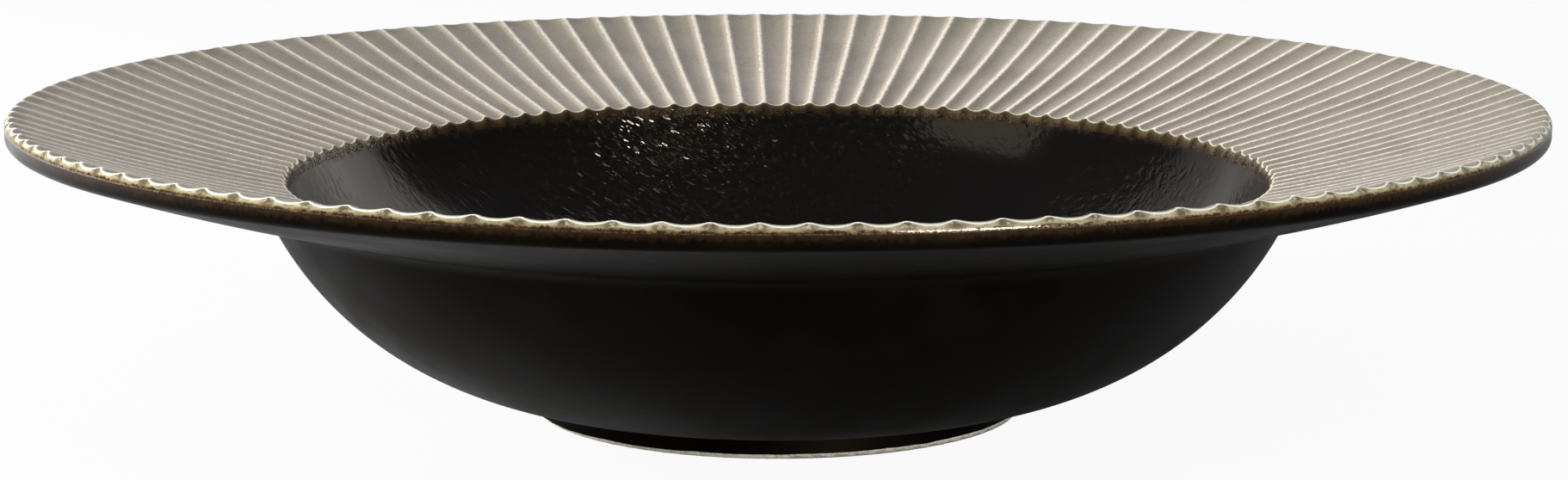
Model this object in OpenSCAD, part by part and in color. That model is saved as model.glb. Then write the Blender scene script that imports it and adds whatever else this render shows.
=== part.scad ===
// Rimmed soup plate in glazed stoneware, with a wide fluted rim.
// Millimetres, +Z up. The origin is the centre of the foot ring, on the table.
// One fired clay body carries four coats of glaze, which meet it face to face.

/* [Plate] */
// Diameter over the lip
overall_d = 285; // [275:1:295]
// Height above the table of the rim's upper face at the lip
lip_h = 59.2; // [57:0.2:62]

/* [Rim] */
// Diameter of the well's mouth, where the rim starts
mouth_d = 184.4; // [180:0.2:190]
// Height of the well's mouth above the table
mouth_h = 45.5; // [44:0.1:47]
// Thickness of the rim, glaze included
rim_t = 4.6; // [4.2:0.1:5.4]
// Rounding of the lip's two corners
lip_round = 1.5; // [1.2:0.1:1.8]
// Rounding of the edge between rim and well
mouth_round = 1.6; // [1.5:0.1:1.8]

/* [Flutes] */
// Number of flutes round the rim
flute_count = 120; // [110:2:124]
// Width of the ridge left between two flutes
ridge_w = 0.8; // [0.7:0.05:1]
// Depth of a flute at the well's mouth
flute_depth_in = 0.6; // [0.5:0.05:0.6]
// Depth of a flute at the lip
flute_depth_out = 0.55; // [0.45:0.05:0.65]
// Angle of the first ridge from +X, in degrees
first_ridge = 1.95; // [0:0.05:3]

/* [Bowl] */
// Radius of the flat middle of the floor
floor_r = 40; // [38:0.5:42]
// Height of the floor's upper side above the table
floor_h = 8.2; // [7.8:0.1:9.5]
// Height of the floor's underside above the table
base_h = 3.7; // [3.2:0.1:4]
// Radius at which the outside of the bowl is level with the floor's underside
bowl_flat_r = 39.5; // [38.5:0.5:40.5]
// Width of the wall, glaze included, where it meets the underside of the rim
wall_w = 4.1; // [3.8:0.1:4.6]
// Fillet between the bowl and the underside of the rim
rim_fillet = 5; // [4:0.5:6]

/* [Foot ring] */
// Outside diameter of the foot ring
foot_d = 92.4; // [90:0.2:96]
// Width of the foot ring
foot_w = 5; // [4.5:0.1:6]
// Rounding of the ring's bare bottom corners
foot_round = 0.8; // [0.5:0.1:0.9]
// Height of the bare strip that is wiped clean of glaze
bare_h = 1; // [1:0.1:1.6]

/* [Glaze] */
// Thickness of each coat of glaze
glaze_t = 0.4; // [0.3:0.05:0.5]

/* [Hidden] */
$fn = 180;

// How far a cut or a zone runs past what it cuts
overrun = 4;
lip_r = overall_d / 2;
mouth_r = mouth_d / 2;
foot_r = foot_d / 2;
foot_mid_r = foot_r - foot_w / 2;
// Radius at which the rim's upper face meets the lip's rounding
crest_r = lip_r - lip_round;

function towards(p, q) = (q - p) / norm(q - p);

// The point that lies ra from a and rb from b, on the left of the line from a to b
function meet(a, ra, b, rb) =
  let (d = norm(b - a))
  let (along = (d * d + ra * ra - rb * rb) / (2 * d))
  let (across = sqrt(ra * ra - along * along))
  let (u = towards(a, b))
  a + along * u + across * [-u[1], u[0]];

// The rim's upper face is part of a ball that passes through the mouth and the lip
mouth_p = [mouth_r, mouth_h];
crest_p = [crest_r, lip_h];
ball_z = (crest_p * crest_p - mouth_p * mouth_p) / (2 * (lip_h - mouth_h));
ball_c = [0, ball_z];
ball_r = norm(mouth_p - ball_c);

// The well's wall is an arc that leaves the floor level and ends at the mouth
well_run = mouth_r - floor_r;
well_rise = mouth_h - floor_h;
well_arc_r = (well_run * well_run + well_rise * well_rise) / (2 * well_rise);
well_c = [floor_r, floor_h + well_arc_r];

// The outside of the bowl is an arc that leaves the floor's underside level and ends below the mouth
bowl_run = mouth_r + wall_w - bowl_flat_r;
bowl_rise = mouth_h - rim_t - base_h;
bowl_arc_r = (bowl_run * bowl_run + bowl_rise * bowl_rise) / (2 * bowl_rise);
bowl_c = [bowl_flat_r, base_h + bowl_arc_r];
function bowl_h(r) = bowl_c[1] - sqrt(pow(bowl_arc_r, 2) - pow(max(r - bowl_flat_r, 0), 2));

// Centres of the roundings: each lies its own radius from the two faces that it joins
function lip_corner(depth) = [crest_r, ball_z - sqrt(pow(ball_r + depth, 2) - crest_r * crest_r)];
lip_top_c = lip_corner(lip_round);
lip_low_c = lip_corner(rim_t - lip_round);
mouth_c = meet(ball_c, ball_r + mouth_round, well_c, well_arc_r + mouth_round);
fillet_c = meet(ball_c, ball_r + rim_t + rim_fillet, bowl_c, bowl_arc_r + rim_fillet);

// Where one coat of glaze gives way to the next: below the flutes' ends, and on the lip's face
well_line_h = mouth_h - flute_depth_in - mouth_round;
lip_line_h = lip_top_c[1] - ridge_w / 4;
mid_rim_r = mouth_r + rim_t / 2;
mid_rim_h = mouth_h - rim_t / 2;
mid_wall = (floor_h - base_h) / 2;
line_slope = (lip_line_h - well_line_h) / (lip_r - mid_rim_r);
zone_r = lip_r + overrun;
zone_line_h = lip_line_h + overrun * line_slope;

// A flute is cut by a barrel whose axis climbs over the rim. Its section is a circle that is wide
// enough, at each end, to leave ridge_w between two flutes at the depth given for that end.
function half_w(r) = PI * r / flute_count - ridge_w / 2;
function axis_lift(r, depth) = (pow(half_w(r), 2) - pow(depth, 2)) / (2 * depth);
rim_u = towards(mouth_p, crest_p);
rim_n = [-rim_u[1], rim_u[0]];
rim_run = norm(crest_p - mouth_p);
rim_hollow = ball_r - sqrt(pow(ball_r, 2) - pow(rim_run / 2, 2));
axis_in = mouth_p + axis_lift(mouth_r, flute_depth_in) * rim_n;
axis_out = crest_p + axis_lift(crest_r, flute_depth_out) * rim_n;
axis_len = norm(axis_out - axis_in);
axis_u = towards(axis_in, axis_out);
axis_n = [-axis_u[1], axis_u[0]];
axis_angle = atan2(axis_u[1], axis_u[0]);

// The bottom of the flute is an arc through its depth at the mouth, half way and at the lip
lift_mid = (axis_lift(mouth_r, flute_depth_in) + axis_lift(crest_r, flute_depth_out)) / 2 + rim_hollow;
depth_mid = norm([lift_mid, half_w((mouth_r + crest_r) / 2)]) - lift_mid;
bed_in = mouth_p - flute_depth_in * rim_n;
bed_out = crest_p - flute_depth_out * rim_n;
bed_u = towards(bed_in, bed_out);
bed_half = norm(bed_out - bed_in) / 2;
bed_hollow = rim_hollow + depth_mid - (flute_depth_in + flute_depth_out) / 2;
bed_r = (pow(bed_half, 2) + pow(bed_hollow, 2)) / (2 * bed_hollow);
bed_c = (bed_in + bed_out) / 2 + (bed_r - bed_hollow) * [-bed_u[1], bed_u[0]];

// Only the barrel's underside cuts, so it is turned through the angle that its narrow end needs
barrel_half_angle = 1.06 * atan2(half_w(mouth_r), axis_lift(mouth_r, flute_depth_in));

// What lies outside a circle round c, between the directions a and b, to just past the corner that
// the two faces there would make
module corner_piece(c, a, b, r) {
  reach = 2 * r / (1 + a * b) + glaze_t;
  difference() {
    polygon([c, c + reach * a, c + reach * b]);
    translate(c) circle(r = r);
  }
}

// The space inside the well, grown by g
module well_space(g) {
  intersection() {
    translate(well_c) circle(r = well_arc_r + g);
    translate([floor_r, 0]) square([lip_r, lip_h]);
  }
  translate([0, floor_h - g]) square([floor_r, lip_h]);
}

// Section of the rim and its lip, shrunk by g
module rim_section(g) {
  intersection() {
    difference() {
      translate(ball_c) circle(r = ball_r + rim_t - g);
      translate(ball_c) circle(r = ball_r + g);
    }
    polygon([
      [mouth_r - overrun, 0],
      lip_low_c - overrun * towards(lip_low_c, ball_c),
      lip_low_c,
      lip_top_c,
      lip_top_c + overrun * towards(lip_top_c, ball_c),
      [mouth_r - overrun, lip_h + overrun]
    ]);
  }
  translate(lip_top_c) circle(r = lip_round - g);
  translate(lip_low_c) circle(r = lip_round - g);
  translate(lip_low_c) square([lip_round - g, lip_top_c[1] - lip_low_c[1]]);
}

// Section of the bowl without its hollow, shrunk by g
module bowl_section(g) {
  intersection() {
    translate(bowl_c) circle(r = bowl_arc_r - g);
    translate([bowl_flat_r, 0]) square([lip_r, mid_rim_h]);
  }
  translate([0, base_h + g]) square([bowl_flat_r, mid_rim_h - base_h - g]);
}

// Section of the foot ring, with its sides shrunk by g
module foot_section(g) {
  inner = foot_r - foot_w + g;
  width = foot_w - 2 * g;
  translate([inner, foot_round]) square([width, bowl_h(foot_r) + mid_wall - foot_round]);
  translate([inner + foot_round, 0]) square([width - 2 * foot_round, foot_round]);
  for (x = [inner + foot_round, inner + width - foot_round]) translate([x, foot_round]) circle(r = foot_round);
}

// Section of the whole plate, shrunk by g except under the foot
module plate_section(g) {
  difference() {
    union() {
      rim_section(g);
      bowl_section(g);
      foot_section(g);
      corner_piece(fillet_c, towards(fillet_c, ball_c), towards(fillet_c, bowl_c), rim_fillet + g);
    }
    well_space(g);
    corner_piece(mouth_c, towards(mouth_c, well_c), towards(mouth_c, ball_c), mouth_round - g);
  }
}

// Section of the clay: under the rim's coat it stays glaze_t below the bottoms of the flutes
module clay_section() {
  difference() {
    plate_section(glaze_t);
    translate(ball_c) circle(r = ball_r + flute_depth_in + glaze_t);
  }
}

module glaze_section() {
  difference() {
    plate_section(0);
    clay_section();
  }
}

// Every second flute, from the flute numbered start
module flutes(start) {
  for (i = [start : 2 : flute_count - 1])
    rotate([0, 0, first_ridge + (i + 0.5) * 360 / flute_count])
      translate([axis_in[0], 0, axis_in[1]])
        rotate([0, 90 - axis_angle, 0])
          rotate_extrude(angle = 2 * barrel_half_angle, start = -barrel_half_angle)
            intersection() {
              translate([-(bed_c - axis_in) * axis_n, (bed_c - axis_in) * axis_u]) circle(r = bed_r);
              translate([0, -overrun]) square([lip_r, axis_len + 2 * overrun]);
            }
}

// The flutes overlap in the air above the ridges, so they are cut in two turns
module fluted() {
  difference() {
    difference() {
      children();
      flutes(0);
    }
    flutes(1);
  }
}

module clay_body() {
  color("#cfc0a2") rotate_extrude() clay_section();
}

module rim_glaze() {
  color("#9d968b")
    fluted()
      rotate_extrude()
        intersection() {
          glaze_section();
          polygon([
            [mouth_r - overrun, well_line_h],
            [mid_rim_r, well_line_h],
            [zone_r, zone_line_h],
            [zone_r, lip_h + overrun],
            [mouth_r - overrun, lip_h + overrun]
          ]);
        }
}

module well_glaze() {
  color("#1a1613")
    rotate_extrude()
      intersection() {
        glaze_section();
        well_space(mid_wall);
        square([mouth_r + overrun, well_line_h]);
      }
}

module outer_glaze() {
  color("#2b2420")
    rotate_extrude()
      difference() {
        intersection() {
          glaze_section();
          polygon([
            [foot_mid_r, bare_h],
            [zone_r, bare_h],
            [zone_r, zone_line_h],
            [mid_rim_r, well_line_h],
            [foot_mid_r, well_line_h]
          ]);
        }
        well_space(mid_wall);
      }
}

module base_glaze() {
  color("#2b2420")
    rotate_extrude()
      intersection() {
        glaze_section();
        translate([0, bare_h]) square([foot_mid_r, bowl_h(foot_mid_r) + mid_wall - bare_h]);
      }
}

clay_body();
rim_glaze();
well_glaze();
outer_glaze();
base_glaze();
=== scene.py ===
"""Dresses the rimmed soup plate: three coats of glaze, bare clay, a pale floor and soft studio light."""

import math

import bpy
from bpy.props import FloatProperty, FloatVectorProperty, IntProperty, PointerProperty
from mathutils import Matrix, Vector, noise


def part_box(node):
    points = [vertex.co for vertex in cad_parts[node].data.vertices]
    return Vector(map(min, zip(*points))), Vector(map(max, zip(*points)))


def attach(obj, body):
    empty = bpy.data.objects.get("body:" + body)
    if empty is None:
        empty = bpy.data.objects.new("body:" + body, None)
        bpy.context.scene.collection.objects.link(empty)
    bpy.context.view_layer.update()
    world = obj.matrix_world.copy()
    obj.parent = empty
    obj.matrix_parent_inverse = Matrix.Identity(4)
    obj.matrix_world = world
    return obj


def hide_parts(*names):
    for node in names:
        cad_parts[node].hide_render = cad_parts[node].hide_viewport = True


bl_info = {
    "name": "Rimmed soup plate",
    "version": (1, 0, 0),
    "blender": (4, 5, 0),
    "location": "View3D > Sidebar > Plate",
    "description": "Glazes a rimmed soup plate round its packed solids and sets the stage for it",
    "category": "Add Mesh",
}

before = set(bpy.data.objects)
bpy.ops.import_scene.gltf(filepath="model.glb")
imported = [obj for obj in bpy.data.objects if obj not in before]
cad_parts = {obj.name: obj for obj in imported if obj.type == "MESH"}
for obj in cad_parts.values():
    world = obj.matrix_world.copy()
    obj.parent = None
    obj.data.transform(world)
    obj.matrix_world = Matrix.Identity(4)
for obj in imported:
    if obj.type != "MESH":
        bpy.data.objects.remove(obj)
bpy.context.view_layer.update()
PLATE_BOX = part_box("rim_glaze")

MM = 0.001
# Turns metres into millimetres. Divided by a size in mm, it is the scale of a noise with clouds that big.
PER_MM = 1000
# Below this distance two vertices are one
WELD = 1e-6
# A turned shell is modelled as one tile of it and as many copies as this
TILES = 12
# Faces that meet at more than this angle keep a sharp edge
SHARP = math.radians(50)


# Sizes and colours


def length(name, description, default):
    """A length in metres that the sidebar shows in the scene's unit."""
    return FloatProperty(
        name=name,
        description=description,
        default=default,
        min=0,
        precision=5,
        subtype="DISTANCE",
        unit="LENGTH",
    )


def linear(code):
    """Turns an sRGB hex colour into linear values."""
    parts = [int(code[i : i + 2], 16) / 255 for i in (1, 3, 5)]
    return tuple(c / 12.92 if c <= 0.04045 else ((c + 0.055) / 1.055) ** 2.4 for c in parts)


def colour(name, description, code):
    return FloatVectorProperty(
        name=name,
        description=description,
        default=linear(code),
        min=0,
        max=1,
        size=3,
        subtype="COLOR",
    )


class PlateSizes(bpy.types.PropertyGroup):
    lip_radius: length("Lip radius", "Radius over the lip", PLATE_BOX[1].x)
    lip_height: length("Lip height", "Height of the rim's upper face at the lip", 59.2 * MM)
    mouth_radius: length("Mouth radius", "Radius of the well's mouth", 92.2 * MM)
    mouth_height: length("Mouth height", "Height of the well's mouth", 45.5 * MM)
    rim_thickness: length("Rim thickness", "Thickness of the rim with its glaze", 4.6 * MM)
    lip_round: length("Lip rounding", "Rounding of the lip's corners", 1.5 * MM)
    mouth_round: length("Mouth rounding", "Rounding between rim and well", 1.6 * MM)
    flutes: IntProperty(
        name="Flutes",
        description="Number of flutes round the rim, a multiple of the number of tiles",
        default=120,
        min=12,
        max=240,
    )
    first_ridge: FloatProperty(
        name="First ridge",
        description="Angle of the first ridge from +X",
        default=math.radians(1.95),
        subtype="ANGLE",
    )
    ridge_width: length("Ridge width", "Width of the ridge between two flutes", 0.8 * MM)
    flute_depth_in: length("Flute depth at the mouth", "Depth of a flute at the well's mouth", 0.6 * MM)
    flute_depth_mid: length("Flute depth half way", "Depth of a flute half way to the lip", 0.45 * MM)
    flute_depth_out: length("Flute depth at the lip", "Depth of a flute at the lip", 0.55 * MM)
    floor_radius: length("Floor radius", "Radius of the flat middle of the floor", 40 * MM)
    floor_height: length("Floor height", "Height of the floor's upper side", 8.2 * MM)
    base_height: length("Base height", "Height of the floor's underside", 3.7 * MM)
    bowl_flat: length("Bowl flat", "Radius at which the bowl's outside is level", 39.5 * MM)
    wall_width: length("Wall width", "Width of the wall where it meets the underside of the rim", 4.1 * MM)
    rim_fillet: length("Rim fillet", "Fillet between bowl and rim", 5 * MM)
    foot_radius: length("Foot radius", "Outside radius of the foot ring", 46.2 * MM)
    bare_height: length("Bare strip", "Height of the strip wiped clean of glaze", 1 * MM)
    glaze: length("Glaze", "Thickness of a coat of glaze", 0.4 * MM)
    relief: length("Well relief", "Height of the crust in the well's glaze", 0.28 * MM)


class PlateColours(bpy.types.PropertyGroup):
    rim_grey: colour("Rim grey", "Satin glaze in the flutes", "#827a6d")
    rim_dark: colour("Rim shade", "Darker cloud in the satin glaze", "#6e6659")
    ridge_cream: colour("Ridge cream", "Glaze worn thin over a ridge", "#dbd2c2")
    edge_olive: colour("Edge olive", "Where the rim's glaze meets the black one", "#514930")
    edge_brown: colour("Edge brown", "Brown halo of the black glaze", "#2f2215")
    well_black: colour("Well black", "Reactive glaze in the well", "#070606")
    well_gold: colour("Well gold", "Golden brown crystals in the well", "#3a2d1a")
    outer_black: colour("Outer black", "Glaze on the outside of the bowl", "#040303")
    outer_brown: colour("Outer brown", "Warm cloud in the outside glaze", "#0b0805")
    lip_gold: colour("Lip gold", "Golden brown band under the lip", "#6f5430")
    clay: colour("Bare clay", "Fired stoneware under the foot", "#f4eedf")
    floor: colour("Floor", "Plain pale floor", "#b4b4b4")


# Section of the plate


def meet(a, ra, b, rb):
    """The point ra from a and rb from b, on the left of the line from a to b."""
    line = b - a
    d = line.length
    along = (d * d + ra * ra - rb * rb) / (2 * d)
    u = line / d
    return a + along * u + math.sqrt(ra * ra - along * along) * Vector((-u.y, u.x))


def towards(p, q):
    return (q - p).normalized()


class Section:
    """The curves that the plate is turned from, as radius and height."""

    def __init__(self, s):
        self.s = s
        self.crest_r = s.lip_radius - s.lip_round
        mouth = Vector((s.mouth_radius, s.mouth_height))
        crest = Vector((self.crest_r, s.lip_height))
        ball_z = (crest.length_squared - mouth.length_squared) / (2 * (s.lip_height - s.mouth_height))
        self.ball_c = Vector((0, ball_z))
        self.ball_r = (mouth - self.ball_c).length
        run = s.mouth_radius - s.floor_radius
        rise = s.mouth_height - s.floor_height
        self.well_r = (run * run + rise * rise) / (2 * rise)
        self.well_c = Vector((s.floor_radius, s.floor_height + self.well_r))
        run = s.mouth_radius + s.wall_width - s.bowl_flat
        rise = s.mouth_height - s.rim_thickness - s.base_height
        self.bowl_r = (run * run + rise * rise) / (2 * rise)
        self.bowl_c = Vector((s.bowl_flat, s.base_height + self.bowl_r))
        self.lip_top = self.lip_corner(s.lip_round)
        self.lip_low = self.lip_corner(s.rim_thickness - s.lip_round)
        self.mouth_c = meet(
            self.ball_c,
            self.ball_r + s.mouth_round,
            self.well_c,
            self.well_r + s.mouth_round,
        )
        self.fillet_c = meet(
            self.ball_c,
            self.ball_r + s.rim_thickness + s.rim_fillet,
            self.bowl_c,
            self.bowl_r + s.rim_fillet,
        )
        self.well_line = s.mouth_height - s.flute_depth_in - s.mouth_round
        self.lip_line = self.lip_top.y - s.ridge_width / 4

    def lip_corner(self, depth):
        """The middle of the rounding of the lip's corner, depth below the rim's upper face."""
        z = self.ball_c.y - math.sqrt((self.ball_r + depth) ** 2 - self.crest_r**2)
        return Vector((self.crest_r, z))

    def on_ball(self, r, depth=0.0):
        return Vector((r, self.ball_c.y - math.sqrt((self.ball_r + depth) ** 2 - r * r)))

    def on_well(self, z, grow=0.0):
        radius = self.well_r + grow
        return Vector((self.well_c.x + math.sqrt(radius**2 - (self.well_c.y - z) ** 2), z))

    def on_bowl(self, r, down=0.0):
        """The outside of the bowl, or a face that lies down inside it."""
        return Vector((r, self.bowl_c.y - math.sqrt((self.bowl_r - down) ** 2 - (r - self.bowl_c.x) ** 2)))

    def depth(self, p):
        """How far p lies below the rim's upper face."""
        return (p - self.ball_c).length - self.ball_r

    def flute_depth(self, r, off_ridge):
        """Depth of the flute's round bed, off_ridge from the nearest ridge's middle."""
        s = self.s
        t = (r - s.mouth_radius) / (self.crest_r - s.mouth_radius)
        ends = s.flute_depth_in * (1 - t) + s.flute_depth_out * t
        middle = (s.flute_depth_in + s.flute_depth_out) / 2 - s.flute_depth_mid
        deep = ends - 4 * t * (1 - t) * middle
        half_pitch = math.pi * r / s.flutes
        half_bed = half_pitch - s.ridge_width / 2
        return deep * (1 - ((half_pitch - off_ridge) / half_bed) ** 2)


def arc(c, radius, a, b, steps):
    """Points on a circle round c from the direction a to the direction b."""
    start, turn = math.atan2(a.y, a.x), b.angle_signed(a)
    return [
        c + radius * Vector((math.cos(start + turn * i / steps), math.sin(start + turn * i / steps)))
        for i in range(steps + 1)
    ]


def spaced(a, b, steps):
    return [a + (b - a) * i / steps for i in range(steps + 1)]


# Modelling


def turned_tile(name, loop, angles, place):
    """Shapes one tile of a turned shell from a grid, spins copies of it round the plate and welds them.

    loop is the closed section, angles are those of the tile's lines, from one side to the other,
    and place(point, row, angle) gives a vertex its radius and height."""
    bpy.ops.object.select_all(action="DESELECT")
    rows, wide = len(loop), len(angles) - 1
    bpy.ops.mesh.primitive_grid_add(x_subdivisions=wide, y_subdivisions=rows, size=1, location=(0, 0, 0))
    piece = bpy.context.object
    piece.name = name
    piece.data.name = name
    for v in piece.data.vertices:
        i, j = round((v.co.x + 0.5) * wide), round((v.co.y + 0.5) * rows) % rows
        p = place(loop[j], j, angles[i])
        v.co = (p.x * math.cos(angles[i]), p.x * math.sin(angles[i]), p.y)
    bpy.ops.object.mode_set(mode="EDIT")
    bpy.ops.mesh.select_all(action="SELECT")
    bpy.ops.mesh.remove_doubles(threshold=WELD)
    bpy.ops.mesh.spin(
        steps=TILES - 1,
        dupli=True,
        angle=2 * math.pi * (TILES - 1) / TILES,
        use_auto_merge=False,
        center=(0, 0, 0),
        axis=(0, 0, -1),
    )
    bpy.ops.mesh.select_all(action="SELECT")
    bpy.ops.mesh.remove_doubles(threshold=WELD)
    bpy.ops.mesh.normals_make_consistent(inside=False)
    bpy.ops.object.mode_set(mode="OBJECT")
    return piece


def even_angles(lines):
    """The angles of a tile's lines where they stand evenly."""
    return [2 * math.pi * i / (TILES * lines) for i in range(lines + 1)]


def as_turned(point, row, angle):
    """Leaves a vertex where its section has it."""
    return point


def soft_over(x, k):
    """x where it is positive and nought where it is negative, with a bend k wide between."""
    return (x + math.sqrt(x * x + k * k)) / 2


def finish_coat(piece, material, node):
    """Shades a coat smooth except at its sharp hidden edges, and puts it in the place of its CAD node."""
    bpy.ops.object.select_all(action="DESELECT")
    piece.select_set(True)
    bpy.context.view_layer.objects.active = piece
    bpy.ops.object.shade_smooth_by_angle(angle=SHARP)
    piece.data.materials.append(material)
    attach(piece, "root")
    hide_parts(node)


# Materials. Sizes and distances in them are in mm.

# Settings that these kinds of node have here unless a call says otherwise
USUAL = {"MapRange": {"interpolation_type": "SMOOTHSTEP"}, "Mix": {"data_type": "RGBA"}}


class Shader:
    """The nodes of a material or of the world."""

    def __init__(self, owner):
        owner.use_nodes = True
        self.owner = owner
        self.tree = owner.node_tree

    def add(self, kind, *values, **more):
        """Adds a node and feeds the values to its open sockets in turn.

        Of the names in more, those with a capital are sockets and the others are settings."""
        node = self.tree.nodes.new("ShaderNode" + kind)
        for key, value in {**USUAL.get(kind, {}), **more}.items():
            if key[0].isupper():
                self.feed(node.inputs[key], value)
            else:
                setattr(node, key, value)
        for socket, value in zip([i for i in node.inputs if i.enabled], values):
            self.feed(socket, value)
        return node

    def feed(self, socket, value):
        """Links a node or one of its outputs to the socket, or sets a constant on it."""
        if isinstance(value, bpy.types.Node):
            value = next(output for output in value.outputs if output.enabled)
        if isinstance(value, bpy.types.NodeSocket):
            self.tree.links.new(value, socket)
        elif socket.type == "RGBA":
            socket.default_value = (*value[:3], 1)
        else:
            socket.default_value = value

    def turned_place(self):
        """Object coordinates, and their radius and height."""
        point = self.add("TexCoord").outputs["Object"]
        x, y, z = self.add("SeparateXYZ", point).outputs
        out = self.add("VectorMath", self.add("CombineXYZ", x, y), operation="LENGTH")
        radius = self.add("Math", out, PER_MM, operation="MULTIPLY")
        return point, radius, self.add("Math", z, PER_MM, operation="MULTIPLY")

    def finish(self, sockets):
        """Feeds the material's own shader and returns the material."""
        shader = self.tree.nodes["Principled BSDF"]
        for name, value in sockets.items():
            self.feed(shader.inputs[name], value)
        return self.owner


def satin_rim_glaze(s, c):
    """Satin magnesium glaze, dipped: greige in the flutes, and it runs thin and cream off the ridges."""
    m = Shader(bpy.data.materials.new("satin_grey_glaze"))
    point, radius, height = m.turned_place()
    mouth, crest, lip_height = s.mouth_radius / MM, (s.lip_radius - s.lip_round) / MM, s.lip_height / MM

    # The distance from the middle of the nearest ridge, with a sign for its side and without
    x, y = m.add("SeparateXYZ", point).outputs[:2]
    azimuth = m.add("Math", y, x, operation="ARCTAN2")
    pitch = 2 * math.pi / s.flutes
    turn = m.add("Math", azimuth, 1 / pitch, 0.5 - s.first_ridge / pitch, operation="MULTIPLY_ADD")
    share = m.add("Math", m.add("Math", turn, operation="FRACT"), 0.5, operation="SUBTRACT")
    pitch_wide = m.add("Math", radius, pitch, operation="MULTIPLY")
    aside = m.add("Math", share, pitch_wide, operation="MULTIPLY")
    off = m.add("Math", aside, operation="ABSOLUTE")

    # Clouds some 14 mm across, greener and darker towards the lip
    cloud = m.add("TexNoise", point, PER_MM / 14, 3)
    shade = m.add("Mix", m.add("MapRange", cloud, 0.35, 0.7), c.rim_grey, c.rim_dark)
    greener = m.add("MapRange", radius, crest - 29, crest, 0, 0.55)
    shade = m.add("Mix", greener, shade, linear("#797362"))

    # Pits and dashes along the rings that turning leaves, 2 mm long and 0.4 mm wide, in patches
    rim_middle = 117
    along = m.add("Math", azimuth, rim_middle / 2, operation="MULTIPLY")
    across = m.add("Math", radius, 2.4, operation="MULTIPLY")
    dashes = m.add("TexNoise", m.add("CombineXYZ", along, across), 1, 1.5, 0.6)
    patch = m.add("MapRange", m.add("TexNoise", point, PER_MM / 38, 1), 0.42, 0.6, 0.12, 0.87)
    dash = m.add("Math", m.add("MapRange", dashes, 0.62, 0.7), patch, operation="MULTIPLY")
    shade = m.add("Mix", dash, shade, linear("#5d564c"))
    grain = m.add("TexNoise", point, PER_MM / 0.5, 2, 0.7)
    shade = m.add("Mix", m.add("MapRange", grain, 0.3, 0.75, 0, 0.22), shade, linear("#b5aa98"))

    # A painted sheen beside a ridge, wider on the side that faces the light, and the worn cream line on top
    # of it
    # How far a point is from the middle of the painted sheen, which lies 0.25 mm to one side of the ridge
    from_painted_sheen = m.add("Math", m.add("Math", aside, 0.25, operation="SUBTRACT"), operation="ABSOLUTE")
    shade = m.add("Mix", m.add("MapRange", from_painted_sheen, 0.25, 1.5, 0.75, 0), shade, linear("#aba192"))
    ragged = m.add("TexNoise", point, PER_MM / 1.1, 2, 0.7)
    wear = m.add("Math", off, m.add("MapRange", ragged, 0.3, 0.7, -0.1, 0.22), operation="ADD")
    thin = m.add("MapRange", radius, crest - 9, crest + 1, 0.95, 0.7)
    worn = m.add("Math", m.add("MapRange", wear, 0.3, 0.62, 1, 0), thin, operation="MULTIPLY")
    shade = m.add("Mix", worn, shade, c.ridge_cream)

    # At the mouth a pale line, then olive, brown and the black glaze, which climbs further up the ridges
    wander = m.add("MapRange", m.add("TexNoise", point, PER_MM / 4), 0.3, 0.7, -0.18, 0.18)
    climb = m.add("Math", m.add("MapRange", off, 0.15, 1.3, 0.4, 0), wander, operation="ADD")
    out = m.add("Math", radius, mouth + 0.05, operation="SUBTRACT")
    past = m.add("Math", out, climb, operation="SUBTRACT")
    line = m.add("Math", m.add("Math", past, 0.18, operation="SUBTRACT"), operation="ABSOLUTE")
    shade = m.add("Mix", m.add("MapRange", line, 0.08, 0.3, 0.85, 0), shade, linear("#e0d3b8"))
    for low, high, most, tint in (
        (-0.1, 0.1, 1, c.edge_olive),
        (-0.7, -0.05, 1, c.edge_brown),
        (-1.3, -0.65, 0.95, c.well_black),
    ):
        shade = m.add("Mix", m.add("MapRange", past, low, high, most, 0), shade, tint)

    # The lip starts at the wavy edge where flutes and ridges turn over it
    half = m.add("Math", pitch_wide, 0.5, operation="MULTIPLY")
    from_bed = m.add("Math", half, off, operation="SUBTRACT")
    half_bed = m.add("Math", half, s.ridge_width / 2 / MM, operation="SUBTRACT")
    bed_share = m.add("Math", from_bed, half_bed, operation="DIVIDE", use_clamp=True)
    squared = m.add("Math", bed_share, bed_share, operation="MULTIPLY")
    deepest = s.flute_depth_out / MM
    depth = m.add("Math", squared, -deepest, deepest, operation="MULTIPLY_ADD")
    rest = m.add("Math", 2 * s.lip_round / MM, depth, operation="SUBTRACT")
    turned = m.add("Math", m.add("Math", depth, rest, operation="MULTIPLY"), operation="SQRT")
    edge = m.add("Math", turned, crest, operation="ADD")
    lip = m.add("MapRange", m.add("Math", radius, edge, operation="SUBTRACT"), -0.35, 0)

    # Its coat is olive grey with brown spots under the ridges, and a cream line follows the edge
    speckle = m.add("TexNoise", point, PER_MM / 1.4, 3, 0.7)
    lip_shade = m.add("Mix", m.add("MapRange", speckle, 0.36, 0.66), linear("#b9b395"), linear("#87805c"))
    under_ridge = m.add("MapRange", off, 0.4, 1.9, 0.85, 0)
    spot = m.add("Math", under_ridge, m.add("MapRange", speckle, 0.34, 0.54), operation="MULTIPLY")
    lip_shade = m.add("Mix", spot, lip_shade, linear("#4f3f25"))
    from_top = m.add("Math", height, lip_height, operation="SUBTRACT")
    rise = m.add("Math", from_top, depth, operation="ADD")
    cream = m.add("MapRange", m.add("Math", -0.05, rise, operation="SUBTRACT"), 0.06, 0.17, 0.95, 0)
    lip_shade = m.add("Mix", cream, lip_shade, linear("#f4f0e2"))

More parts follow.
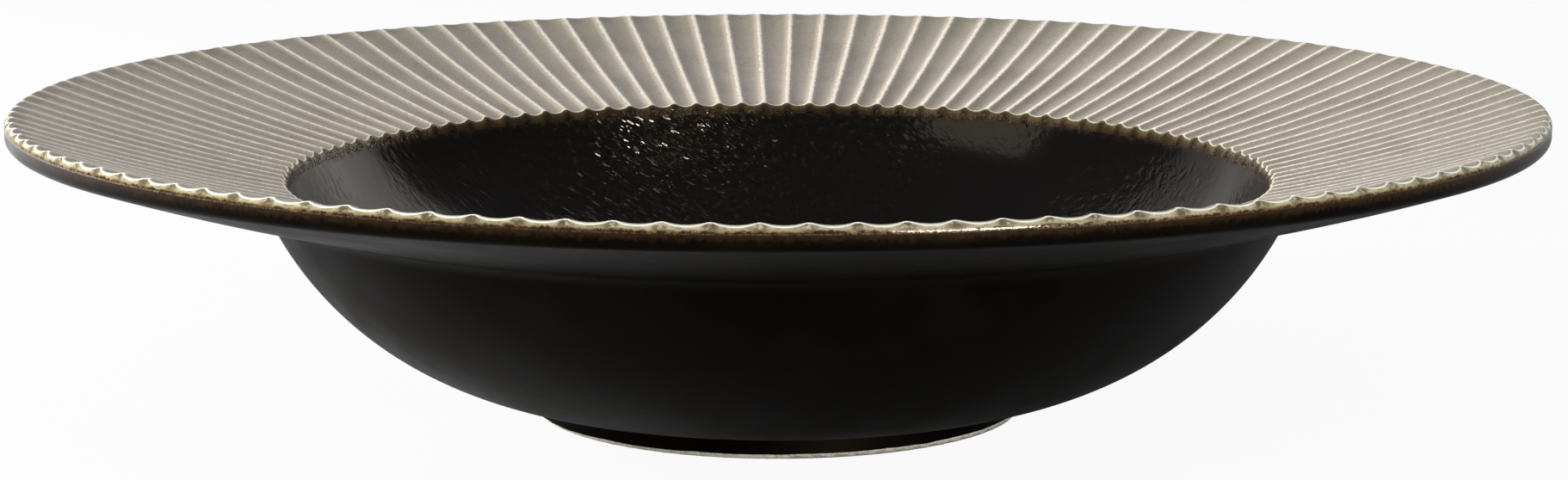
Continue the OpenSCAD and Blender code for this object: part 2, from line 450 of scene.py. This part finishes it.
    # Further down it turns gold, brown and nearly black, at heights that wander
    under = m.add("Math", from_top, m.add("MapRange", speckle, 0.3, 0.7, -0.25, 0.25), operation="ADD")
    stretch = m.add("MapRange", m.add("TexNoise", point, PER_MM / 30, 1), 0.4, 0.6)
    under = m.add("Math", stretch, -0.15, under, operation="MULTIPLY_ADD")
    for low, high, tint in (
        (-1.4, -1.0, c.lip_gold),
        (-1.6, -1.3, c.edge_brown),
        (-2.4, -1.7, linear("#2a2016")),
    ):
        lip_shade = m.add("Mix", m.add("MapRange", under, low, high, 1, 0), lip_shade, tint)

    # The dark part of the lip is slick and sparkles, and the black at the mouth is dull and crusty
    dark = m.add("MapRange", past, -0.6, 0.1, 1, 0)
    slick = m.add("MapRange", under, -1.35, -1.15, 1, 0)
    satin = m.add("MapRange", cloud, 0.3, 0.7, 0.4, 0.5)
    spark = m.add("MapRange", m.add("TexNoise", point, PER_MM / 0.4, 2, 0.8), 0.4, 0.62, -0.45, 0.9)
    shine = m.add("Math", slick, spark, 0.5, operation="MULTIPLY_ADD")
    relief = m.add("Math", grain, 0.35, operation="MULTIPLY")
    relief = m.add("Math", dash, -0.6, relief, operation="MULTIPLY_ADD")
    crust = m.add("Math", dark, ragged, operation="MULTIPLY")
    relief = m.add("Math", crust, 6, relief, operation="MULTIPLY_ADD")
    smoother = m.add("Math", slick, -0.3, 1, operation="MULTIPLY_ADD")
    relief = m.add("Math", relief, smoother, operation="MULTIPLY")
    return m.finish(
        {
            "Base Color": m.add("Mix", lip, shade, lip_shade),
            "Roughness": m.add("Math", slick, -0.32, satin, operation="MULTIPLY_ADD"),
            "IOR": 1.5,
            "Specular IOR Level": m.add("Math", dark, -0.25, shine, operation="MULTIPLY_ADD"),
            "Specular Tint": m.add("Mix", slick, linear("#ffffff"), linear("#ffedd0")),
            "Normal": m.add("Bump", Strength=0.7, Distance=0.08 * MM, Height=relief),
        }
    )


def reactive_black_glaze(s, c):
    """Gloss iron-black reactive glaze, cooled slowly: a crust of golden brown crystals on the wall."""
    m = Shader(bpy.data.materials.new("reactive_black_glaze"))
    point = m.add("TexCoord").outputs["Object"]
    crust = m.add("Attribute", attribute_name="crust").outputs["Fac"]
    fleck = m.add("TexNoise", point, PER_MM / 1.4, 4, 0.65)
    shade = m.add("Mix", m.add("Math", crust, 0.8, operation="MULTIPLY"), c.well_black, linear("#0c0906"))
    golden = m.add("Math", m.add("MapRange", fleck, 0.55, 0.72, 0, 0.7), crust, operation="MULTIPLY")
    shade = m.add("Mix", golden, shade, c.well_gold)

    # Browner and duller in the last few millimetres below the mouth
    up = m.add("SeparateXYZ", point).outputs["Z"]
    below = m.add("Math", up, PER_MM, -s.mouth_height / MM, operation="MULTIPLY_ADD")
    below = m.add("Math", below, m.add("MapRange", fleck, 0.3, 0.7, -0.7, 0.7), operation="ADD")
    shade = m.add("Mix", m.add("MapRange", below, -3.3, -1.3, 0, 0.4), shade, c.edge_brown)
    duller = m.add("MapRange", below, -3.1, -1.5, 0, 0.25)

    # Wrinkles run down to the right across the back wall, each some 8 mm long and 2.5 mm wide
    slant = m.add("Mapping", point, vector_type="TEXTURE", Rotation=(0, math.radians(30), 0))
    long_way = m.add("Mapping", slant, Scale=(0.32, 1, 1))
    wave = m.add("Math", m.add("TexNoise", long_way, PER_MM / 2.5, 2, 0.55), 0.5, operation="SUBTRACT")
    wrinkle = m.add("Math", wave, operation="ABSOLUTE")
    amount = m.add("Math", crust, 0.97, 0.02, operation="MULTIPLY_ADD")
    relief = m.add("Math", wrinkle, amount, operation="MULTIPLY")
    return m.finish(
        {
            "Base Color": shade,
            "Roughness": m.add("Math", m.add("MapRange", crust, 0, 0.6, 0.15, 0.1), duller, operation="ADD"),
            "IOR": 1.52,
            "Specular IOR Level": 0.45,
            "Specular Tint": linear("#f5e6cc"),
            "Normal": m.add("Bump", Strength=0.9, Distance=1.9 * MM, Height=relief),
        }
    )


def brown_black_glaze(s, c):
    """Satin brown-black glaze, poured: cloudy on the bowl, brown at the lip, worn at the foot's joint."""
    m = Shader(bpy.data.materials.new("brown_black_glaze"))
    point, radius, height = m.turned_place()
    cloud = m.add("TexNoise", point, PER_MM / 18, 4, 0.55)
    shade = m.add("Mix", m.add("MapRange", cloud, 0.35, 0.7), c.outer_black, c.outer_brown)

    speckle = m.add("TexNoise", point, PER_MM / 1.2, 4, 0.7)
    wandering = m.add("Math", height, m.add("MapRange", speckle, 0.3, 0.7, -0.4, 0.4), operation="ADD")
    lip, lip_height = s.lip_radius / MM, s.lip_height / MM
    on_lip = m.add("MapRange", radius, lip - 0.9, lip - 0.2)
    band = m.add("MapRange", wandering, lip_height - 3.2, lip_height - 1.7)
    shade = m.add("Mix", m.add("Math", band, on_lip, operation="MULTIPLY"), shade, c.edge_brown)

    # The joint between bowl and foot, where the glaze breaks pale
    corner = Section(s).on_bowl(s.foot_radius) / MM
    over = m.add("Math", m.add("Math", height, corner.y - 0.08, operation="SUBTRACT"), operation="ABSOLUTE")
    near_foot = m.add("MapRange", radius, corner.x + 0.4, corner.x + 1.1, 1, 0)
    joint = m.add("Math", m.add("MapRange", over, 0.1, 0.3, 0.9, 0), near_foot, operation="MULTIPLY")
    breaks = m.add("MapRange", m.add("TexNoise", point, PER_MM / 2.5, 3, 0.7), 0.36, 0.54)
    shade = m.add("Mix", m.add("Math", joint, breaks, operation="MULTIPLY"), shade, linear("#c2ab82"))

    satin = m.add("MapRange", cloud, 0.35, 0.7, 0.36, 0.46)
    grain = m.add("TexNoise", point, PER_MM / 0.7, 2, 0.6)
    relief = m.add("Math", grain, 0.4, cloud, operation="MULTIPLY_ADD")
    return m.finish(
        {
            "Base Color": shade,
            "Roughness": m.add("Math", on_lip, -0.2, satin, operation="MULTIPLY_ADD"),
            "IOR": 1.5,
            "Specular IOR Level": 0.06,
            "Specular Tint": linear("#e6c9a2"),
            "Normal": m.add("Bump", Strength=0.35, Distance=0.12 * MM, Height=relief),
        }
    )


def bare_stoneware(s, c):
    """Pale fired stoneware, wiped clean of glaze: matt, with fine sand and iron specks."""
    m = Shader(bpy.data.materials.new("bare_stoneware"))
    point = m.add("TexCoord").outputs["Object"]
    sand = m.add("TexNoise", point, PER_MM / 0.6, 3, 0.7)
    shade = m.add("Mix", m.add("MapRange", sand, 0.3, 0.75), c.clay, linear("#cabfa6"))
    specks = m.add("MapRange", m.add("TexNoise", point, PER_MM / 0.9), 0.7, 0.76)
    return m.finish(
        {
            "Base Color": m.add("Mix", specks, shade, linear("#7d674c")),
            "Roughness": m.add("MapRange", sand, 0.3, 0.7, 0.78, 0.9),
            "IOR": 1.5,
            "Normal": m.add("Bump", Strength=0.6, Distance=0.12 * MM, Height=sand),
        }
    )


# Pieces


class PLATE_OT_rim_coat(bpy.types.Operator):
    """Models one tile of the rim's coat with its flutes, lip and mouth, and spins it round the plate"""

    bl_idname = "plate.rim_coat"
    bl_label = "Rim glaze"

    def execute(self, context):
        s, c = context.scene.plate_sizes, context.scene.plate_colours
        if s.flutes % TILES:
            raise ValueError(f"The number of flutes has to be a multiple of {TILES}")
        sec = Section(s)
        face, back = self.face(s, sec), self.back(s, sec)
        pitch = 2 * math.pi / s.flutes
        # How wide the edge between a flute and its ridge is rounded
        bend = 0.1 * MM
        # What the rounding would still take off a face far above the flutes
        rest = soft_over(-9 * bend, bend)

        def place(p, row, angle):
            if row >= len(face):
                return p
            off_ridge = abs(math.remainder(angle - s.first_ridge, pitch)) * p.x
            cut = soft_over(sec.flute_depth(p.x, off_ridge) - sec.depth(p), bend) - rest
            return p + cut * towards(sec.ball_c, p)

        # The mesh's lines across half a flute, in half pitches, closer together at the ridge
        shares = (0.06, 0.12, 0.18, 0.26, 0.36, 0.5, 0.66, 0.83, 1)
        lines = [-x / 2 for x in reversed(shares[:-1])] + [0] + [x / 2 for x in shares]
        turns = [-0.5] + [i + x for i in range(s.flutes // TILES) for x in lines]
        angles = [s.first_ridge + pitch * turn for turn in turns]
        piece = turned_tile("rim_coat", face + back, angles, place)
        finish_coat(piece, satin_rim_glaze(s, c), "rim_glaze")
        return {"FINISHED"}

    def face(self, s, sec):
        """The coat's visible side, from the well over the rim to the lip."""
        points = [sec.on_well(z) for z in spaced(sec.well_line, sec.mouth_c.y + 0.3 * s.mouth_round, 2)]
        start, end = towards(sec.mouth_c, sec.well_c), towards(sec.mouth_c, sec.ball_c)
        points += arc(sec.mouth_c, s.mouth_round, start, end, 5)
        radii = spaced(sec.mouth_c.x + 0.2 * s.mouth_round, sec.crest_r, 11)[1:-1]
        points += [sec.on_ball(r) for r in radii]
        points += arc(sec.lip_top, s.lip_round, towards(sec.lip_top, sec.ball_c), Vector((1, 0)), 10)
        return points + [Vector((s.lip_radius, sec.lip_line))]

    def back(self, s, sec):
        """The side that lies on the clay, from the lip to the well."""
        t, down = s.glaze, s.flute_depth_in + s.glaze
        points = [Vector((s.lip_radius - t, z)) for z in (sec.lip_line, sec.lip_top.y)]
        radii = spaced(s.lip_radius - 1.25 * t, s.mouth_radius + 2 * t, 5)
        points += [sec.on_ball(r, down) for r in radii]
        return points + [sec.on_well(z, t) for z in (sec.mouth_c.y, sec.well_line)]


class PLATE_OT_well_coat(bpy.types.Operator):
    """Turns the well's coat and works ridges and pits into its wall"""

    bl_idname = "plate.well_coat"
    bl_label = "Well glaze"

    def execute(self, context):
        s, c = context.scene.plate_sizes, context.scene.plate_colours
        sec = Section(s)
        down, t = Vector((0, -1)), s.glaze
        face = [Vector((r, s.floor_height)) for r in spaced(0, s.floor_radius, 16)[:-1]]
        face += arc(sec.well_c, sec.well_r, down, towards(sec.well_c, sec.on_well(sec.well_line)), 92)
        start = towards(sec.well_c, sec.on_well(sec.well_line, t))
        back = arc(sec.well_c, sec.well_r + t, start, down, 16) + [Vector((0, s.floor_height - t))]
        piece = turned_tile("well_coat", face + back, even_angles(60), as_turned)
        edge_r = sec.on_well(sec.well_line).x
        crust = piece.data.attributes.new("crust", "FLOAT", "POINT")
        for v in piece.data.vertices:
            p = Vector((math.hypot(v.co.x, v.co.y), v.co.z))
            gap = sec.well_r - (p - sec.well_c).length if p.x > s.floor_radius else p.y - s.floor_height
            # The back and the edge, which lies against the rim's coat, stay as they are
            if abs(gap) > t / 8:
                continue
            amount = self.crust(v.co)
            crust.data[v.index].value = amount
            fade = min(max((edge_r - p.x) / MM, 0), 1)
            v.co += fade * s.relief * self.rise(v.co, amount) * self.inward(sec, v.co, p)
        piece.data.update()
        finish_coat(piece, reactive_black_glaze(s, c), "well_glaze")
        return {"FINISHED"}

    def inward(self, sec, co, p):
        """Points from the coat's face into the well."""
        if p.x <= sec.s.floor_radius:
            return Vector((0, 0, 1))
        n = towards(p, sec.well_c)
        return Vector((n.x * co.x / p.x, n.x * co.y / p.x, n.y))

    def crust(self, co):
        """How thick the crystals stand: most at the back of the wall, and none on the floor."""
        # The heights where they begin and where they are full
        lowest, full = 13 * MM, 25 * MM
        wall = min(max((co.z - lowest) / (full - lowest), 0), 1)
        # The angle from +X where they are thickest, and how far to both sides they thin out
        thickest, spread = 1.78, 0.55
        turn = abs(math.remainder(math.atan2(co.y, co.x) - thickest, 2 * math.pi))
        shift = Vector((3.1, 0.4, 7.7))
        patches = noise.noise(co / (17 * MM) + shift)
        return wall * min(max(0.95 - 0.88 * min(turn / spread, 1) + 0.3 * patches, 0), 1)

    def rise(self, co, amount):
        """Height of the relief: soft waves everywhere, ragged ridges and pits in the crust."""
        cells = noise.voronoi(co / (3 * MM))[0]
        pit = min((cells[1] - cells[0]) * 2.2, 1)
        ragged = abs(noise.noise(co / (2.6 * MM))) + 0.5 * abs(noise.noise(co / (1.4 * MM)))
        wave = noise.noise(co / (7 * MM))
        return 0.07 * wave + amount * (1.5 * ragged - 0.5 * pit)


class PLATE_OT_outer_coat(bpy.types.Operator):
    """Turns the outside coat from the lip to the foot, with an uneven edge above the bare strip"""

    bl_idname = "plate.outer_coat"
    bl_label = "Outer glaze"

    def execute(self, context):
        s, c = context.scene.plate_sizes, context.scene.plate_colours
        sec = Section(s)
        face = self.chain(s, sec, 0, 2)
        back = list(reversed(self.chain(s, sec, s.glaze, 1)))
        piece = turned_tile("outer_coat", face + back, even_angles(40), as_turned)
        # The sponge leaves the glaze's edge uneven, and higher on one side of the foot
        sponged = 2.2 * MM
        for v in piece.data.vertices:
            r = math.hypot(v.co.x, v.co.y)
            if v.co.z > sponged or r > s.foot_radius + s.glaze:
                continue
            lean = 0.28 * MM * (v.co.x / r + 0.2)
            ragged = 0.16 * MM * noise.noise(v.co / (7 * MM)) + 0.07 * MM * noise.noise(v.co / (1.6 * MM))
            share = (sponged - v.co.z) / (sponged - s.bare_height)
            v.co.z += share * max(lean + ragged, -0.25 * MM)
        piece.data.update()
        finish_coat(piece, brown_black_glaze(s, c), "outer_glaze")
        return {"FINISHED"}

    def chain(self, s, sec, inside, fine):
        """Points from the lip to the foot, inside the plate's face by that much, fine times the fewest."""
        joint = sec.on_bowl(s.foot_radius - inside, inside)
        points = [Vector((s.lip_radius - inside, sec.lip_line))]
        away = -towards(sec.lip_low, sec.ball_c)
        points += arc(sec.lip_low, s.lip_round - inside, Vector((1, 0)), away, 6 * fine)
        radii = spaced(sec.crest_r, sec.fillet_c.x, 6 * fine)[1:-1]
        points += [sec.on_ball(r, s.rim_thickness - inside) for r in radii]
        start, end = towards(sec.fillet_c, sec.ball_c), towards(sec.fillet_c, sec.bowl_c)
        points += arc(sec.fillet_c, s.rim_fillet + inside, start, end, 5 * fine)
        start, end = towards(sec.bowl_c, points[-1]), towards(sec.bowl_c, joint)
        points += arc(sec.bowl_c, sec.bowl_r - inside, start, end, 22 * fine)[1:]
        return points + [Vector((joint.x, z)) for z in spaced(joint.y, s.bare_height, 2 * fine)[1:]]


class PLATE_OT_body_finish(bpy.types.Operator):
    """Gives the clay body and the coat under the base their finish"""

    bl_idname = "plate.body_finish"
    bl_label = "Clay and base"

    def execute(self, context):
        s, c = context.scene.plate_sizes, context.scene.plate_colours
        finishes = {
            "clay_body": bare_stoneware(s, c),
            "base_glaze": bpy.data.materials.get("brown_black_glaze") or brown_black_glaze(s, c),
        }
        for node, material in finishes.items():
            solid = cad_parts[node]
            if not solid.material_slots:
                solid.data.materials.append(material)
            for slot in solid.material_slots:
                slot.material = material
        return {"FINISHED"}


# Stage

# Light of the dim room, at the sides and from above
ROOM_DIM = 0.05
ROOM_TOP = 0.08
# Light of the white sweep behind the plate, at its left and its right
SWEEP_LEFT = 0.65
SWEEP_RIGHT = 0.55
# Light that a panel at the far right of the sweep adds
PANEL = 0.6
# How much of the plain white all round the plate its gloss mirrors, as in a dim room
GLOSS_SHARE = 0.03
# The share of plain white in the floor as the camera sees it
FLOOR_GLOW = 0.94
FLOOR_RADIUS = 4
# The point on the front of the lip that the front lamps aim at
FRONT_LIP = (0.028, -0.14, 0.058)
# Each lamp's name, place, aim, size and watts, and whether it lights surfaces, shows in their gloss, or both
LAMPS = (
    ("key_front", (0.4, -0.9, 0.78), FRONT_LIP, (0.6, 0.22), 5.5, "diffuse"),
    ("key_glint", (0.4, -0.9, 0.82), FRONT_LIP, (0.3, 0.12), 0.4, "glossy"),
    ("low_front", (0.5, -1.15, 0.33), FRONT_LIP, (0.7, 0.2), 8, "diffuse"),
    ("lip_streak", (0.5, -1.1, 0.18), FRONT_LIP, (0.32, 0.18), 12, "glossy"),
    ("fill_left", (-0.9, -0.5, 0.6), (0, 0, 0.05), (0.6, 0.6), 1, "both"),
    ("rim_left", (-0.95, 0.2, 0.38), (0.05, 0, 0.05), (0.6, 0.4), 26, "diffuse"),
)
# The image's width and the camera's focal length in pixels, and the sensor's width in mm
IMAGE_WIDE = 1822
FOCAL_LENGTH = 4237.6
SENSOR = 36
CAMERA_PLACE = (0.00106, -0.6799, 0.1507)
# How far below the horizon the camera looks
CAMERA_DOWN = math.radians(9.9165)


def seen_as_background(m):
    """One for rays from the camera or through glass, a little for those off gloss, nought for the rest."""
    path = m.add("LightPath").outputs
    gloss = m.add("Math", path["Is Glossy Ray"], GLOSS_SHARE, operation="MULTIPLY")
    clear = m.add("Math", path["Is Camera Ray"], path["Is Transmission Ray"], operation="MAXIMUM")
    return m.add("Math", clear, gloss, operation="MAXIMUM")


class PLATE_OT_stage(bpy.types.Operator):
    """Sets the pale floor, the dim room, the soft lamps and the camera"""

    bl_idname = "plate.stage"
    bl_label = "Stage"

    def execute(self, context):
        scene = context.scene
        self.add_floor(scene)
        self.add_world(scene)
        for name, place, aim, size, watts, lights in LAMPS:
            self.add_lamp(scene, name, place, aim, size, watts, lights)
        self.add_camera(scene)
        scene.view_settings.view_transform = "Standard"
        return {"FINISHED"}

    def add_floor(self, scene):
        bpy.ops.object.select_all(action="DESELECT")
        bpy.ops.mesh.primitive_circle_add(
            vertices=96, radius=FLOOR_RADIUS, fill_type="NGON", location=(0, 0, 0)
        )
        floor = bpy.context.object
        floor.name = "floor"
        m = Shader(bpy.data.materials.new("plain_floor"))
        m.finish({"Base Color": scene.plate_colours.floor, "Roughness": 0.9, "IOR": 1.4})
        from_painted_sheen = m.add("Emission", (1, 1, 1), 1)
        share = m.add("Math", seen_as_background(m), FLOOR_GLOW, operation="MULTIPLY")
        mixed = m.add("MixShader", share, m.tree.nodes["Principled BSDF"], from_painted_sheen)
        m.feed(m.tree.nodes["Material Output"].inputs["Surface"], mixed)
        floor.data.materials.append(m.owner)

    def add_world(self, scene):
        """A room that is dim all round, with the sweep behind the plate from its left to its right end."""
        m = Shader(bpy.data.worlds.new("studio"))
        x, y, z = m.add("SeparateXYZ", m.add("TexCoord").outputs["Generated"]).outputs
        # The angle to the right of straight behind, in radians. z is the sine of the angle upwards.
        aside = m.add("Math", x, y, operation="ARCTAN2")
        wide = m.add("MapRange", m.add("Math", aside, operation="ABSOLUTE"), 0.95, 1.08, 1, 0)
        sweep = m.add("Math", wide, m.add("MapRange", z, 0.6, 0.9, 1, 0), operation="MULTIPLY")
        level = m.add("MapRange", aside, -0.5, 0.5, SWEEP_LEFT, SWEEP_RIGHT)
        level = m.add("Math", level, m.add("MapRange", aside, 0.55, 0.65, 0, PANEL), operation="ADD")
        # The far left of the sweep is duller
        level = m.add("Math", level, m.add("MapRange", aside, -0.8, -0.6, 0.6, 1), operation="MULTIPLY")
        above = m.add("MapRange", z, 0.35, 0.75)
        room = m.add("Math", above, ROOM_TOP, ROOM_DIM, operation="MULTIPLY_ADD")
        room = m.add("Math", sweep, level, room, operation="MULTIPLY_ADD")
        lit = m.add("Mix", seen_as_background(m), room, 1, data_type="FLOAT")
        background = m.tree.nodes["Background"].inputs
        m.feed(background["Strength"], lit)
        m.feed(background["Color"], m.add("Mix", above, (1, 1, 1), linear("#e8ecff")))
        scene.world = m.owner

    def add_lamp(self, scene, name, place, aim, size, watts, lights):
        data = bpy.data.lights.new(name, "AREA")
        data.shape = "RECTANGLE"
        data.size, data.size_y = size
        data.energy = watts
        lamp = bpy.data.objects.new(name, data)
        lamp.location = place
        lamp.rotation_euler = (Vector(aim) - Vector(place)).to_track_quat("-Z", "Y").to_euler()
        lamp.visible_diffuse = lights != "glossy"
        lamp.visible_glossy = lights != "diffuse"
        scene.collection.objects.link(lamp)

    def add_camera(self, scene):
        data = bpy.data.cameras.new("photo_view")
        data.sensor_width = SENSOR
        data.lens = FOCAL_LENGTH * SENSOR / IMAGE_WIDE
        data.clip_start = 0.05
        camera = bpy.data.objects.new("photo_view", data)
        camera.location = CAMERA_PLACE
        camera.rotation_euler = (math.radians(90) - CAMERA_DOWN, 0, 0)
        scene.collection.objects.link(camera)
        scene.camera = camera


STEPS = (PLATE_OT_rim_coat, PLATE_OT_well_coat, PLATE_OT_outer_coat, PLATE_OT_body_finish, PLATE_OT_stage)


class PLATE_PT_sidebar(bpy.types.Panel):
    bl_idname = "PLATE_PT_sidebar"
    bl_label = "Rimmed soup plate"
    bl_space_type = "VIEW_3D"
    bl_region_type = "UI"
    bl_category = "Plate"

    def draw(self, context):
        for group in (context.scene.plate_sizes, context.scene.plate_colours):
            box = self.layout.box()
            for key in group.__annotations__:
                box.prop(group, key)
        for step in STEPS:
            self.layout.operator(step.bl_idname)


CLASSES = (PlateSizes, PlateColours, *STEPS, PLATE_PT_sidebar)


def register():
    for cls in CLASSES:
        bpy.utils.register_class(cls)
    bpy.types.Scene.plate_sizes = PointerProperty(type=PlateSizes)
    bpy.types.Scene.plate_colours = PointerProperty(type=PlateColours)


def unregister():
    del bpy.types.Scene.plate_colours
    del bpy.types.Scene.plate_sizes
    for cls in reversed(CLASSES):
        bpy.utils.unregister_class(cls)


def main():
    register()
    bpy.ops.plate.rim_coat()
    bpy.ops.plate.well_coat()
    bpy.ops.plate.outer_coat()
    bpy.ops.plate.body_finish()
    bpy.ops.plate.stage()


if __name__ == "__main__":
    main()
